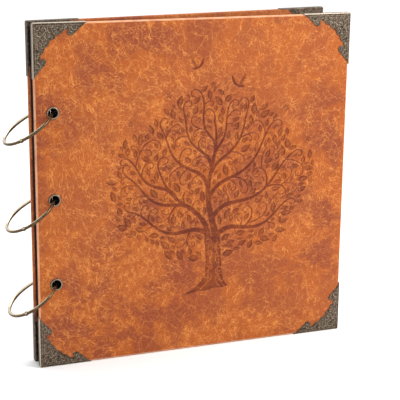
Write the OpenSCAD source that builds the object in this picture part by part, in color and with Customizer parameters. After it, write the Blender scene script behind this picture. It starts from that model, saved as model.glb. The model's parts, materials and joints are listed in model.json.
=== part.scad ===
// Scrapbook album: two leather-covered boards with metal corners, black leaves and three loose-leaf rings.
// +X runs from the rings to the fore-edge, the front cover faces -Y, +Z is up and the album stands on z = 0.

/* [Covers] */
// Width of a cover, over its metal corners
cover_w = 251; // [220:1:290]
// Height of a cover, over its metal corners
cover_h = 260; // [220:1:310]
// Thickness of a finished cover, without the metal
cover_t = 4.5; // [4:0.1:5]
// Thickness of the leather
leather_t = 0.7; // [0.5:0.1:0.9]
// Thickness of the black lining sheet inside a cover
liner_t = 0.5; // [0.5:0.1:0.8]
// Width of the leather that shows inside, above, below and at the fore-edge of the lining
turn_in = 4.5; // [3:0.5:9]
// Width of the leather that shows inside at the spine edge
spine_turn_in = 1.5; // [1:0.5:3]
// Angle between the covers as the album stands
open_angle = 6.8; // [5:0.2:7.6]
// Gap between the insides of the closed covers
page_gap = 8; // [8:0.2:9]

/* [Holes and eyelets] */
// Distance of the hole line from a cover's spine edge
hole_inset = 14; // [13:0.5:16]
// Spacing of the three holes
hole_pitch = 65; // [55:1:75]
// Bore radius of an eyelet
eyelet_r = 3.35; // [3.2:0.05:3.4]
// Outer radius of an eyelet's rim
rim_r = 4.75; // [4.6:0.05:5]
// Distance from the hole line back to the line that the covers swing about
swing = 19.3; // [19:0.1:19.6]

/* [Metal corners] */
// Length of a corner's legs
corner_leg = 40; // [36:1:44]
// Thickness of the sheet metal
corner_t = 0.5; // [0.4:0.05:0.5]
// Length of the legs of the flange inside a cover
flange_leg = 34; // [28:1:36]
// Head radius of the brads in each flange
brad_r = 1.1; // [0.9:0.1:1.3]

/* [Rings] */
// Radius of a ring at the middle of its wire
ring_r = 20.5; // [20:0.1:21]
// Radius of the wire
wire_r = 1.2; // [1:0.05:1.25]
// Angle that the rings hang down outside the covers
ring_droop = 33; // [25:1:36]
// Where on a ring its hinge sits, from its innermost point round past the front cover
hinge_at = 125; // [115:1:130]
// Where on a ring its gate closes
closure_at = 42; // [40:1:50]
// Radius of the hinge ears
ear_r = 1.35; // [1.3:0.05:1.6]
// Radius of the hinge pin
pin_r = 0.6; // [0.5:0.05:0.7]

/* [Leaves] */
// Width of a leaf
leaf_w = 238; // [200:1:238]
// Height of a leaf
leaf_h = 240; // [200:1:240]
// Thickness of one pack of leaves
pack_t = 1; // [0.6:0.05:1.05]
// Radius of the holes punched in the leaves
leaf_hole_r = 4.2; // [3.8:0.1:4.4]

/* [Hidden] */
$fn = 48;

// Clearances
running = 0.05;       // pins and tongues that turn
slide_gap = 0.25;     // lap of a ring's closure
snug = 0.02;          // brads and eyelet rims in their holes
through = 1;          // how far a cutter runs past a face

// Hole heights, from the top ring down
hole_z = [cover_h / 2 + hole_pitch, cover_h / 2, cover_h / 2 - hole_pitch];

// The line that the covers and leaves swing about, seen from above
axis_x = hole_inset - swing;
axis_y = cover_t + page_gap / 2;
cover_off = (cover_t + page_gap) / 2;
half_angle = open_angle / 2;

// The rings' chord, from the front holes to the back holes
chord_mid = swing * cos(half_angle) - cover_off * sin(half_angle);
half_chord = cover_off * cos(half_angle) + swing * sin(half_angle);
ring_back = sqrt(ring_r * ring_r - half_chord * half_chord);
ring_out = chord_mid - ring_back * cos(ring_droop);
ring_drop = ring_back * sin(ring_droop);
ring_x = axis_x + ring_out * cos(half_angle);
ring_y = axis_y + ring_out * sin(half_angle);

// The origin, below the middle of the whole album
ring_reach_x = ring_r * norm([cos(ring_droop) * cos(half_angle), sin(half_angle)]) + wire_r;
ring_reach_y = ring_r * norm([cos(ring_droop) * sin(half_angle), cos(half_angle)]) + wire_r;
low_x = ring_x - ring_reach_x;
low_y = ring_y - ring_reach_y;
high_y = axis_y + (cover_w - axis_x) * sin(open_angle) + (cover_off + cover_t / 2 + corner_t) * cos(open_angle);
origin_x = (low_x + cover_w) / 2;
origin_y = (low_y + high_y) / 2;

// Leaves: gaps between packs, their recess, and each pack's share of the back cover's swing
pack_count = 6;
pack_pitch = pack_t + (page_gap - pack_count * pack_t) / (pack_count + 1);
leaf_x = 4;
leaf_z = 10;
leaf_shift = [0.9, 2.8];
fan = 0.01;
leaf_share = [fan, 2 * fan, 3 * fan, 1 - 3 * fan, 1 - 2 * fan, 1 - fan];

// Eyelet rims
outer_bead = (rim_r - eyelet_r) / 2;
inner_bead = 0.65;
rim_proud = 0.55;
barrel_t = 0.45;

// Ring closure and hinge
lap = 6;
lap_gap = 0.84;
tongue_t = 0.8;
tongue_r = 1.2;
pin_head_r = 0.85;
pin_head_t = 0.15;

// Brads
brad_along = 21;
brad_in = 5.5;
brad_shank_r = 0.55;
brad_shank = 2.5;

// ---------------------------------------------------------------- places

module from_origin() translate([-origin_x, -origin_y, 0]) children();

module about_axis(turn) translate([axis_x, axis_y, 0]) rotate([0, 0, turn]) translate([-axis_x, -axis_y, 0])
    children();

// Each cover is drawn once, outside at y = 0 and inside at y = cover_t
module front() from_origin() children();

module back() from_origin() about_axis(open_angle)
    translate([0, 2 * axis_y, 0]) mirror([0, 1, 0]) children();

module at_corner(top, fore) translate([fore ? cover_w : 0, 0, top ? cover_h : 0])
    mirror([fore ? 1 : 0, 0, 0]) mirror([0, 0, top ? 1 : 0]) children();

module each_corner() for (top = [false, true], fore = [false, true]) at_corner(top, fore) children();

module at_holes() for (z = hole_z) translate([hole_inset, 0, z]) children();

// A round cutter or bar along +Y
module along_y(r, y0, y1) translate([0, y0, 0]) rotate([-90, 0, 0]) cylinder(r = r, h = y1 - y0);

// An outline in X and Z, from y0 to y1
module plate(y0, y1) translate([0, y1, 0]) rotate([90, 0, 0]) linear_extrude(y1 - y0) children();

module cover_slab(inset, y0, y1)
    translate([inset, y0, inset]) cube([cover_w - 2 * inset, y1 - y0, cover_h - 2 * inset]);

// The part of a cover's inside that the lining lies on
module lining_area(y0, y1) translate([corner_t + spine_turn_in, y0, corner_t + turn_in])
    cube([cover_w - 2 * corner_t - spine_turn_in - turn_in, y1 - y0, cover_h - 2 * (corner_t + turn_in)]);

// A brad near the end of each leg of a flange
module brad_spots() for (spot = [[brad_along, brad_in], [brad_in, brad_along]])
    translate([spot[0], 0, spot[1]]) children();

// ---------------------------------------------------------------- covers

module brad_holes() each_corner() brad_spots()
    along_y(brad_shank_r + snug, cover_t - corner_t - brad_shank, cover_t);

module flange_seats() each_corner() plate(cover_t - corner_t, cover_t + through) flange_outline();

module board() color("tan") difference() {
    cover_slab(corner_t + leather_t, leather_t, cover_t - liner_t);
    at_holes() along_y(eyelet_r + barrel_t + running, 0, cover_t);
    brad_holes();
}

module leather() color("peru") difference() {
    cover_slab(corner_t, 0, cover_t);
    cover_slab(corner_t + leather_t, leather_t, cover_t - liner_t);
    lining_area(cover_t - liner_t - leather_t, cover_t + through);
    at_holes() along_y(rim_r + snug, -through, cover_t + through);
    flange_seats();
}

module liner() color("black") difference() {
    lining_area(cover_t - liner_t, cover_t);
    at_holes() along_y(rim_r, 0, cover_t + through);
    flange_seats();
}

// ---------------------------------------------------------------- metal corners

// Half of a corner's face: a leg, its hooked lobe, the notch and the stepped edge up to the diagonal
module half_outline() {
    polygon([[0, 0], [corner_leg, 0], [31, 8], [28.4, 9.6], [25.8, 8.6], [26.4, 5], [22, 6.4], [18, 9.2],
             [13, 13]]);
    translate([28.2, 7.2]) circle(r = 2.5);
    translate([19.6, 6]) circle(r = 2.6);
    translate([14.6, 9.6]) circle(r = 2.6);
}

module corner_outline() {
    half_outline();
    mirror([1, -1]) half_outline();
}

module flange_outline() polygon([[0, 0], [flange_leg, 0], [0, flange_leg]]);

module metal_corner() color("dimgray") {
    plate(-corner_t, 0) corner_outline();
    translate([0, -corner_t, 0]) cube([corner_leg, cover_t + corner_t, corner_t]);
    translate([0, -corner_t, 0]) cube([corner_t, cover_t + corner_t, corner_leg]);
    difference() {
        plate(cover_t - corner_t, cover_t) flange_outline();
        brad_spots() along_y(brad_r + snug, 0, cover_t + through);
    }
}

module brads() color("darkgoldenrod") each_corner() brad_spots() {
    along_y(brad_r, cover_t - corner_t, cover_t);
    along_y(brad_shank_r, cover_t - corner_t - brad_shank, cover_t - corner_t);
}

// ---------------------------------------------------------------- eyelets

// The wall of an eyelet: a proud bead outside, a straight barrel and a flush bead inside
module eyelet_wall() {
    intersection() {
        translate([eyelet_r + outer_bead, outer_bead - rim_proud]) circle(r = outer_bead);
        translate([eyelet_r, -rim_proud]) square([2 * outer_bead, rim_proud + leather_t]);
    }
    intersection() {
        translate([eyelet_r + inner_bead, cover_t - inner_bead]) circle(r = inner_bead);
        translate([eyelet_r, cover_t - liner_t]) square([2 * inner_bead, liner_t]);
    }
    translate([eyelet_r, outer_bead - rim_proud])
        square([barrel_t, cover_t - liner_t - outer_bead + rim_proud]);
}

module eyelet(number) color("olive") translate([hole_inset, 0, hole_z[number - 1]])
    rotate([-90, 0, 0]) rotate_extrude($fn = 64) eyelet_wall();

// ---------------------------------------------------------------- leaves

module leaf_pack(number) color("black") from_origin() about_axis(leaf_share[number - 1] * open_angle) {
    middle = axis_y + (number - (pack_count + 1) / 2) * pack_pitch;
    difference() {
        translate([leaf_x, middle - pack_t / 2, leaf_z]) cube([leaf_w, pack_t, leaf_h]);
        translate([leaf_shift[0], 0, leaf_shift[1]]) at_holes()
            along_y(leaf_hole_r, middle - pack_t / 2 - through, middle + pack_t / 2 + through);
    }
}

// ---------------------------------------------------------------- rings

// A ring lies in its own XY plane with its innermost point on +X and the front cover at -Y
module at_ring(number) from_origin() translate([ring_x, ring_y, hole_z[number - 1] - ring_drop])
    rotate([0, -ring_droop, half_angle]) children();

module at_hinge() rotate([0, 0, -hinge_at]) translate([ring_r, 0, 0]) children();

module arc_of(start, sweep) rotate([0, 0, start]) rotate_extrude(angle = sweep, $fn = 96)
    translate([ring_r, 0]) children();

module wire() circle(r = wire_r, $fn = 32);

// Takes the outer (side 1) or inner (side -1) half of the wire away, for the lap of the closure
module lap_cut(start, side) arc_of(start, lap + lap_gap)
    translate([side * (3 * wire_r - slide_gap) / 2, 0]) square([3 * wire_r, 4 * wire_r], center = true);

module disc(r, h) cylinder(r = r, h = h, center = true);

module ring_arm(number) color("khaki") at_ring(number) difference() {
    union() {
        arc_of(-closure_at - lap, 360 - hinge_at + closure_at + lap) wire();
        at_hinge() disc(ear_r, 2 * wire_r);
    }
    lap_cut(-closure_at - lap - lap_gap, 1);
    at_hinge() disc(ear_r + 4 * running, tongue_t + 2 * running);
    at_hinge() disc(pin_r, 4 * wire_r);
}

module ring_gate(number) color("palegoldenrod") at_ring(number) difference() {
    union() {
        difference() {
            arc_of(-hinge_at, hinge_at - closure_at - lap_gap) wire();
            for (side = [-1, 1]) at_hinge() translate([0, 0, side * (tongue_t / 2 + wire_r)])
                disc(ear_r + 3 * running, 2 * wire_r);
        }
        at_hinge() disc(tongue_r, tongue_t);
    }
    lap_cut(-closure_at - lap - lap_gap, -1);
    at_hinge() disc(pin_r + running, 4 * wire_r);
}

module ring_pin(number) color("darkgoldenrod") at_ring(number) at_hinge() {
    disc(pin_r, 2 * wire_r);
    for (side = [-1, 1]) translate([0, 0, side * (wire_r + pin_head_t / 2)]) disc(pin_head_r, pin_head_t);
}

// ---------------------------------------------------------------- nodes

front() board();  // front_board
front() leather();  // front_leather
front() liner();  // front_liner
front() at_corner(true, false) metal_corner();  // front_corner_top_spine
front() at_corner(true, true) metal_corner();  // front_corner_top_fore
front() at_corner(false, false) metal_corner();  // front_corner_bottom_spine
front() at_corner(false, true) metal_corner();  // front_corner_bottom_fore
front() brads();  // front_brads
front() eyelet(1);  // front_eyelet_1
front() eyelet(2);  // front_eyelet_2
front() eyelet(3);  // front_eyelet_3

back() board();  // back_board
back() leather();  // back_leather
back() liner();  // back_liner
back() at_corner(true, false) metal_corner();  // back_corner_top_spine
back() at_corner(true, true) metal_corner();  // back_corner_top_fore
back() at_corner(false, false) metal_corner();  // back_corner_bottom_spine
back() at_corner(false, true) metal_corner();  // back_corner_bottom_fore
back() brads();  // back_brads
back() eyelet(1);  // back_eyelet_1
back() eyelet(2);  // back_eyelet_2
back() eyelet(3);  // back_eyelet_3

leaf_pack(1);  // leaf_pack_1
leaf_pack(2);  // leaf_pack_2
leaf_pack(3);  // leaf_pack_3
leaf_pack(4);  // leaf_pack_4
leaf_pack(5);  // leaf_pack_5
leaf_pack(6);  // leaf_pack_6

ring_arm(1);  // ring_1_arm
ring_gate(1);  // ring_1_gate
ring_pin(1);  // ring_1_pin
ring_arm(2);  // ring_2_arm
ring_gate(2);  // ring_2_gate
ring_pin(2);  // ring_2_pin
ring_arm(3);  // ring_3_arm
ring_gate(3);  // ring_3_gate
ring_pin(3);  // ring_3_pin
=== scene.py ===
import json
import math
import random

import bmesh
import bpy
import numpy as np
from mathutils import Matrix, Vector


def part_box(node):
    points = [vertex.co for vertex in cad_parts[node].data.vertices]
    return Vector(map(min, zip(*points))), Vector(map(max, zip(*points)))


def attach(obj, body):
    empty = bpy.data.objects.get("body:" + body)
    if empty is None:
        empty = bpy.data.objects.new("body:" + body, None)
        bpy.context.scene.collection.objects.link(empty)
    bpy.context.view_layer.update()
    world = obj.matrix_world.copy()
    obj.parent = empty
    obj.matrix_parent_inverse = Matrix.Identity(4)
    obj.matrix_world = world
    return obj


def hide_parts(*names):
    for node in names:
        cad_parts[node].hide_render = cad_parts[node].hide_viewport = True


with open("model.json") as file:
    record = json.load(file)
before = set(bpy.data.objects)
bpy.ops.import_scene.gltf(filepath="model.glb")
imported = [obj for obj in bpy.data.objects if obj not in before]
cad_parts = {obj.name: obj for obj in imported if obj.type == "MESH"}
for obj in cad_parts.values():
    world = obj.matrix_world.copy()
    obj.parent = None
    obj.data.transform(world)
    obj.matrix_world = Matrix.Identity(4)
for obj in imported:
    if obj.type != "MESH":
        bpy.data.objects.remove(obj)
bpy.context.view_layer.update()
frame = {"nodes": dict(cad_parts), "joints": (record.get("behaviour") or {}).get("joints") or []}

MM = 0.001

# ---- measures, in millimetres, from the frame
joints = {j["name"]: j for j in frame["joints"]}
hinge = joints["front_cover_hinge"]
open_angle = -math.radians(hinge["range_deg"][0])
axis = np.array(hinge["pos_m"]) / MM


def low(node):
    return np.array(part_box(node)[0]) / MM


def high(node):
    return np.array(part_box(node)[1]) / MM


spine_corner, fore_corner = low("front_corner_bottom_spine"), high("front_corner_top_fore")
cover_w = fore_corner[0] - spine_corner[0]
cover_h = fore_corner[2] - spine_corner[2]
face_y = low("front_leather")[1]
cover_t = high("front_leather")[1] - face_y
metal_t = face_y - spine_corner[1]
corner_leg = high("front_corner_bottom_spine")[0] - spine_corner[0]
start = np.array([spine_corner[0], face_y, 0.0])
hole_x = (low("front_eyelet_1")[0] + high("front_eyelet_1")[0]) / 2 - start[0]
hole_z = [(low(f"front_eyelet_{n}")[2] + high(f"front_eyelet_{n}")[2]) / 2 for n in (1, 2, 3)]
rim_r = (high("front_eyelet_1")[2] - low("front_eyelet_1")[2]) / 2
rim_proud = face_y - low("front_eyelet_1")[1]
spine_turn_in, _, turn_in = low("front_liner") - low("front_leather")
brad_r = 1.1
brad_in = low("front_brads")[0] + brad_r - start[0]

# What the frame doesn't say: thicknesses, folds and the wire
leather_t, flange_leg, brad_along = 0.7, 34.0, 21.0
eyelet_r, wire_r, ear_r, tongue_r = 3.35, 1.2, 1.35, 1.2
hinge_at, closure_at = math.radians(125), math.radians(42)


def spun(q, angle):
    """Points turned about the upright axis through the origin."""
    c, s = math.cos(angle), math.sin(angle)
    return np.stack([q[:, 0] * c - q[:, 1] * s, q[:, 0] * s + q[:, 1] * c, q[:, 2]], 1)


def front_place(p):
    """Points of a cover, drawn outside face at y = 0, to where the front cover is."""
    return np.asarray(p) + start


def back_place(p):
    """The same points mirrored across the album and turned with the back cover."""
    return spun((np.asarray(p) + start - axis) * [1, -1, 1], open_angle) + axis


SIDES = {"front": (front_place, False), "back": (back_place, True)}


# ---- mesh making
def cover_piece(side, name, node, shape, material, flip=False, sharp=35, toned=True):
    """Adds a shape drawn on a cover, at that cover's place."""
    points, faces, marks = shape.all()
    add_piece(f"{side}_{name}", SIDES[side][0](points), faces, material, f"{side}_cover",
              [f"{side}_{node}"], flip, sharp, {"tone": marks} if toned else None)


def add_piece(name, points, faces, material, body, nodes, flip=False, sharp=35, values=None):
    """A mesh from points in millimetres, smooth except at folds, riding on a body in place of nodes."""
    if flip:
        faces = [tuple(reversed(f)) for f in faces]
    mesh = bpy.data.meshes.new(name)
    mesh.from_pydata((np.asarray(points) * MM).tolist(), [], [tuple(int(i) for i in f) for f in faces])
    for key, column in (values or {}).items():
        mesh.attributes.new(key, "FLOAT", "POINT").data.foreach_set("value", np.asarray(column, np.float32))
    work = bmesh.new()
    work.from_mesh(mesh)
    bmesh.ops.remove_doubles(work, verts=work.verts, dist=2e-6)
    bmesh.ops.recalc_face_normals(work, faces=work.faces)
    work.to_mesh(mesh)
    work.free()
    mesh.shade_smooth()
    mesh.set_sharp_from_angle(angle=math.radians(sharp))
    mesh.materials.append(material)
    piece = bpy.data.objects.new(name, mesh)
    bpy.context.scene.collection.objects.link(piece)
    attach(piece, body)
    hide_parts(*nodes)


class Shape:
    """Points and faces gathered from several surfaces."""

    def __init__(self):
        self.points, self.faces, self.marks, self.count = [], [], [], 0

    def add(self, points, faces, mark=0.0):
        points = np.asarray(points, float)
        self.points.append(points)
        self.marks.append(np.broadcast_to(np.asarray(mark, float), len(points)).copy())
        self.faces.extend(tuple(i + self.count for i in f) for f in faces)
        self.count += len(points)

    def grid(self, points, closed_u=False, closed_v=False, mark=0.0):
        """A surface from an array of points, rows by columns."""
        points = np.asarray(points, float)
        n, m = points.shape[:2]
        faces = []
        for i in range(n if closed_u else n - 1):
            for j in range(m if closed_v else m - 1):
                a, b = (i + 1) % n, (j + 1) % m
                faces.append((i * m + j, a * m + j, a * m + b, i * m + b))
        self.add(points.reshape(-1, 3), faces, np.asarray(mark).reshape(-1) if np.ndim(mark) == 2 else mark)

    def fan(self, loop, middle, mark=0.0):
        loop = np.asarray(loop, float)
        n = len(loop)
        self.add(np.vstack([loop, [middle]]), [(i, (i + 1) % n, n) for i in range(n)], mark)

    def all(self):
        return np.vstack(self.points), self.faces, np.concatenate(self.marks)


def no_detail(xs, zs):
    return np.zeros((len(xs) - 1, len(zs) - 1), bool)


def around(i0, j0, i1, j1, stride=1):
    """Grid points once round a rectangle, from its lower left."""
    across, up = range(i0, i1, stride), range(j0, j1, stride)
    first = [(i, j0) for i in across] + [(i1, j) for j in up]
    return first + [(i0 + i1 - i, j1) for i in across] + [(i0, j0 + j1 - j) for j in up]


def patch(low_xz, high_xz, cells, levels, rough, holes, hole_half):
    """A flat sheet in square cells, small where rough(x, z) asks for them, with openings round the holes.

    Gives the points in x and z, the faces, the loop round the outside and a loop for each opening, by angle.
    """
    fine = 2 ** levels
    n = np.array(cells) * fine
    low_xz, high_xz = np.array(low_xz, float), np.array(high_xz, float)
    step = (high_xz - low_xz) / n
    xs, zs = low_xz[0] + step[0] * np.arange(n[0] + 1), low_xz[1] + step[1] * np.arange(n[1] + 1)
    detail = rough(xs, zs)
    gone = np.zeros(cells, bool)
    used = np.zeros(n + 1, bool)
    rings = []
    for hx, hz in holes:
        a = np.floor((np.array([hx, hz]) - hole_half - low_xz) / step / fine).astype(int)
        b = np.ceil((np.array([hx, hz]) + hole_half - low_xz) / step / fine).astype(int)
        gone[a[0]:b[0], a[1]:b[1]] = True
        loop = around(*(a * fine).tolist(), *(b * fine).tolist(), 2)
        loop.sort(key=lambda p: math.atan2(zs[p[1]] - hz, xs[p[0]] - hx))
        for p in loop:
            used[p] = True
        rings.append(loop)
    quads, wide = [], []
    split_above = np.ones(cells, bool)
    for level in range(levels, -1, -1):
        size = 2 ** level
        shape = n // size
        blocked = np.kron(gone, np.ones(shape // np.array(cells), bool))
        if level:
            split = detail.reshape(shape[0], size, shape[1], size).any((1, 3)) & ~blocked & split_above
        else:
            split = np.zeros(shape, bool)
        here = split_above & ~split & ~blocked
        i, j = np.nonzero(here)
        i, j = i * size, j * size
        for di in (0, size):
            for dj in (0, size):
                used[i + di, j + dj] = True
        if level:
            wide.extend((a, b, size) for a, b in zip(i.tolist(), j.tolist()))
            split_above = np.kron(split, np.ones((2, 2), bool))
        else:
            quads.append(np.stack([i, j], 1))
    number = np.full(n + 1, -1)
    number[used] = np.arange(used.sum())
    ij = np.argwhere(used)
    points = np.stack([xs[ij[:, 0]], zs[ij[:, 1]]], 1)
    faces, middles = [], []
    for block in quads:
        i, j = block[:, 0], block[:, 1]
        corners = [number[i, j], number[i + 1, j], number[i + 1, j + 1], number[i, j + 1]]
        faces.extend(np.stack(corners, 1).tolist())
    for i, j, size in wide:
        ring = [number[e] for e in around(i, j, i + size, j + size) if used[e]]
        if len(ring) == 4:
            faces.append(ring)
            continue
        hub = len(points) + len(middles)
        middles.append((xs[i + size // 2], zs[j + size // 2]))
        faces.extend((ring[k], ring[(k + 1) % len(ring)], hub) for k in range(len(ring)))
    if middles:
        points = np.vstack([points, middles])
    outer = [number[e] for e in around(0, 0, *n.tolist()) if used[e]]
    return points, faces, outer, [[number[p] for p in loop] for loop in rings]


# ---- the pressed design
def smooth(t):
    t = np.clip(t, 0, 1)
    return t * t * (3 - 2 * t)


class Relief:
    """A pressed design on a grid over a flat sheet: how deep, how dark, and how far to the nearest line."""

    def __init__(self, low_xz, step, shape):
        self.low, self.step = np.array(low_xz, float), np.array(step, float)
        self.depth = np.zeros(shape)
        self.tone = np.zeros(shape)
        self.room = np.full(shape, 99.0)

    def near(self, centre, reach):
        """The part of the grid within reach of a point, and that part's coordinates."""
        i0, j0 = np.maximum(((np.array(centre) - reach - self.low) / self.step).astype(int), 0)
        i1, j1 = np.maximum(((np.array(centre) + reach - self.low) / self.step).astype(int) + 2, 0)
        part = (slice(i0, i1), slice(j0, j1))
        n, m = self.depth[part].shape
        x = self.low[0] + self.step[0] * (i0 + np.arange(n))[:, None]
        z = self.low[1] + self.step[1] * (j0 + np.arange(m))[None, :]
        return part, x, z

    def press(self, part, k, depth, tone, raised=False):
        if raised:
            self.depth[part] *= 1 - depth * k
            self.tone[part] *= 1 - tone * k
        else:
            self.depth[part] = np.maximum(self.depth[part], depth * k)
            self.tone[part] = np.maximum(self.tone[part], tone * k)

    def line(self, points, widths, depth=1.0, tone=1.0, soft=0.3, raised=False, claim=True):
        """Presses a line of changing half-width, or raises it back up out of a pressed area."""
        for a, b, ra, rb in zip(points[:-1], points[1:], widths[:-1], widths[1:]):
            reach = np.hypot(*(b - a)) / 2 + max(ra, rb)
            part, x, z = self.near((a + b) / 2, reach + soft)
            far = segment_distance(x, z, a, b - a) - (ra + rb) / 2
            self.press(part, smooth((soft - far) / (2 * soft)), depth, tone, raised)
        if claim:
            self.claim(points, widths)

    def claim(self, points, widths, reach=7.0):
        """Marks the room round a line as taken."""
        ends = list(range(0, len(points) - 1, 2)) + [len(points) - 1]
        for i, j in zip(ends[:-1], ends[1:]):
            a, d = points[i], points[j] - points[i]
            part, x, z = self.near(a + d / 2, reach + np.hypot(*d) / 2)
            self.room[part] = np.minimum(self.room[part], segment_distance(x, z, a, d) - widths[i])

    def free(self, points):
        """The room left at each of some points."""
        ij = np.rint((np.atleast_2d(points) - self.low) / self.step).astype(int)
        ij = np.clip(ij, 0, np.array(self.room.shape) - 1)
        return self.room[ij[:, 0], ij[:, 1]]


def hump(t, wide):
    """A smooth hump, 1 at t = 0."""
    return np.exp(-(t / wide) ** 2)


def at_level(flat, y):
    """Flat points in x and z as points in space, at a level or at one level each."""
    return np.stack([flat[:, 0], np.broadcast_to(y, len(flat)), flat[:, 1]], 1)


def circle(centre_x, centre_z, r, count):
    turn = -math.pi + 2 * math.pi * np.arange(count) / count
    return np.stack([centre_x + r * np.cos(turn), centre_z + r * np.sin(turn)], 1)


def segment_distance(x, z, a, d):
    t = np.clip(((x - a[0]) * d[0] + (z - a[1]) * d[1]) / max(d @ d, 1e-9), 0, 1)
    return np.hypot(x - a[0] - t * d[0], z - a[1] - t * d[1])


def walk(begin, headings, length, step=0.6):
    """Points along a path whose heading, in radians, is a function of the share of its length."""
    n = max(int(length / step), 3)
    h = headings((np.arange(n) + 0.5) / n)
    moves = np.stack([np.cos(h), np.sin(h)], 1) * length / n
    return np.vstack([begin, begin + np.cumsum(moves, 0)])


def tendril(begin, heading, length, turn, open_part=0.25, power=2.0):
    """A curl: nearly straight at first, then a spiral that tightens towards its end."""
    def bent(s):
        return heading + turn * (open_part * s + (1 - open_part) * s ** (power + 1))
    return walk(begin, bent, length)


def taper(n, first, last, power=1.2):
    return last + (first - last) * (1 - np.linspace(0, 1, n)) ** power


def tree_design(relief, rnd, middle, half, foot):
    """A generic tree of life: scrolled trunk, sweeping limbs with curled ends, almond leaves, blossoms."""
    cx, cz = middle
    fork = np.array([cx, cz - half[1] + 11])
    grown = []

    def reach(angle):
        """The crown's uneven outline, drawn in at its upper shoulders, as a share of its ellipse."""
        shoulder = 0.13 * np.abs(np.sin(2 * angle)) * (np.sin(angle) > 0)
        return 1.01 - shoulder + 0.035 * np.sin(7 * angle + 1.3) + 0.025 * np.sin(12 * angle + 0.4)

    def inside(p, margin):
        across, above = (p[:, 0] - cx) / half[0], (p[:, 1] - cz) / half[1]
        return (np.hypot(across, above) < margin * reach(np.arctan2(above, across))).all()

    def grow(path, width, tip, level):
        widths = taper(len(path), width, tip)
        relief.line(path, widths, depth=0.75 + 0.25 * min(width, 1), tone=0.92, soft=0.3)
        grown.append((path, widths, level))

    def curled(path, heading, length, turn, open_part, width):
        tail = tendril(path[-1], heading, length, turn, open_part, 1.4)
        grow(np.vstack([path, tail[1:]]), width, 0.3, 0)

    def limb(stem, share, side, aim, sway, width):
        """A limb off a stem: it leaves steeply, bends out to its aim, sways and curls at its tip."""
        begin, phase = stem[int(share * (len(stem) - 1))], rnd.uniform(-0.5, 0.5)
        first = aim + 0.45

        def headings(s):
            away = smooth(s / 0.28)
            h = first + (aim - first) * away + sway * away * np.sin(6.6 * s + 2.6 + phase) + 0.25 * s
            return h if side > 0 else math.pi - h

        length = 14.0
        while length < 150 and inside(walk(begin, headings, length), 0.9):
            length += 2
        main = walk(begin, headings, length)
        end = main[-1] - main[-2]
        curl = rnd.choice((-1, 1)) * math.radians(rnd.uniform(270, 350))
        curled(main, math.atan2(end[1], end[0]), 15 + 6 * rnd.random(), curl, 0.2, width)

    # A swaying leader and a second stem to its left, then limbs off both, the lowest nearly level
    tall = cz + half[1] - fork[1]
    leader = walk(fork + [2.5, 0], lambda s: math.radians(90) + 0.24 * np.sin(s * 7.0 + 0.3), 0.82 * tall)
    curled(leader, math.radians(84), 22, math.radians(320), 0.15, 2.8)
    second = walk(fork + [-2.5, 0], lambda s: 1.75 + 0.75 * smooth(s / 0.45) - 0.55 * smooth((s - 0.5) / 0.5),
                  0.62 * tall)
    curled(second, 1.95, 24, math.radians(-320), 0.15, 2.3)
    for k in range(5):
        limb(leader, 0.03 + 0.16 * k, 1, math.radians(10 + 13 * k), 0.42 - 0.04 * k, 2.2 - 0.25 * k)
    for k in range(3):
        limb(second, 0.06 + 0.3 * k, -1, math.radians(8 + 11 * k), 0.42 - 0.04 * k, 2.1 - 0.25 * k)
        limb(leader, 0.46 + 0.15 * k, -1, math.radians(40 + 12 * k), 0.34, 1.6 - 0.2 * k)

    # Side branches and curls, long ones first, wherever they find room
    for length, clear, width, tries in ((44, 4.2, 1.0, 300), (32, 3.3, 0.75, 420), (23, 2.7, 0.55, 600),
                                        (16, 2.3, 0.42, 700), (11, 1.9, 0.36, 500)):
        for _ in range(tries):
            path, widths, level = grown[rnd.randrange(len(grown))]
            i = int((0.12 + 0.7 * rnd.random()) * (len(path) - 1))
            if widths[i] < 0.36:
                continue
            ahead = path[i + 1] - path[i]
            side = rnd.choice((-1, 1))
            heading = math.atan2(ahead[1], ahead[0]) + side * math.radians(rnd.uniform(28, 55))
            turn = rnd.choice((-1, 1, 1)) * side * math.radians(rnd.uniform(230, 400))
            long = length * rnd.uniform(0.85, 1.15)
            branch = tendril(path[i], heading, long, turn, rnd.uniform(0.05, 0.25), rnd.uniform(1.7, 3.0))
            root = int(widths[i] / 0.6)
            if inside(branch, 0.98) and (relief.free(branch[11 + root:]) > clear).all() \
                    and (relief.free(branch[5 + root:]) > 0.9).all() and branch[:, 1].min() > fork[1] - 6:
                grow(branch, min(width, 0.8 * widths[i]), 0.25, level + 1)

    # Leaves, large ones first
    for size, tries in ((8.6, 220), (7.2, 700), (6.0, 2000), (5.0, 3200), (4.2, 3600)):
        for _ in range(tries):
            angle = rnd.uniform(0, 2 * math.pi)
            ring = math.sqrt(rnd.random()) * 1.06 * reach(angle)
            spot = np.array([cx + half[0] * ring * math.cos(angle), cz + half[1] * ring * math.sin(angle)])
            if spot[1] < fork[1] + 2 and abs(spot[0] - cx) < 11:
                continue
            way = math.atan2(spot[1] - fork[1] + 25, spot[0] - fork[0]) + rnd.uniform(-0.9, 0.9)
            along = np.array([math.cos(way), math.sin(way)]) * size
            wide = size * rnd.uniform(0.20, 0.26)
            probes = spot + np.outer([-0.55, -0.25, 0, 0.25, 0.6], along)
            need = np.array([0.5, 0.5 + 0.8 * wide, 0.6 + wide, 0.5 + 0.8 * wide, 0.5])
            if (relief.free(probes) > need).all():
                leaf(relief, spot - along / 2, along, wide, rnd)

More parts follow.
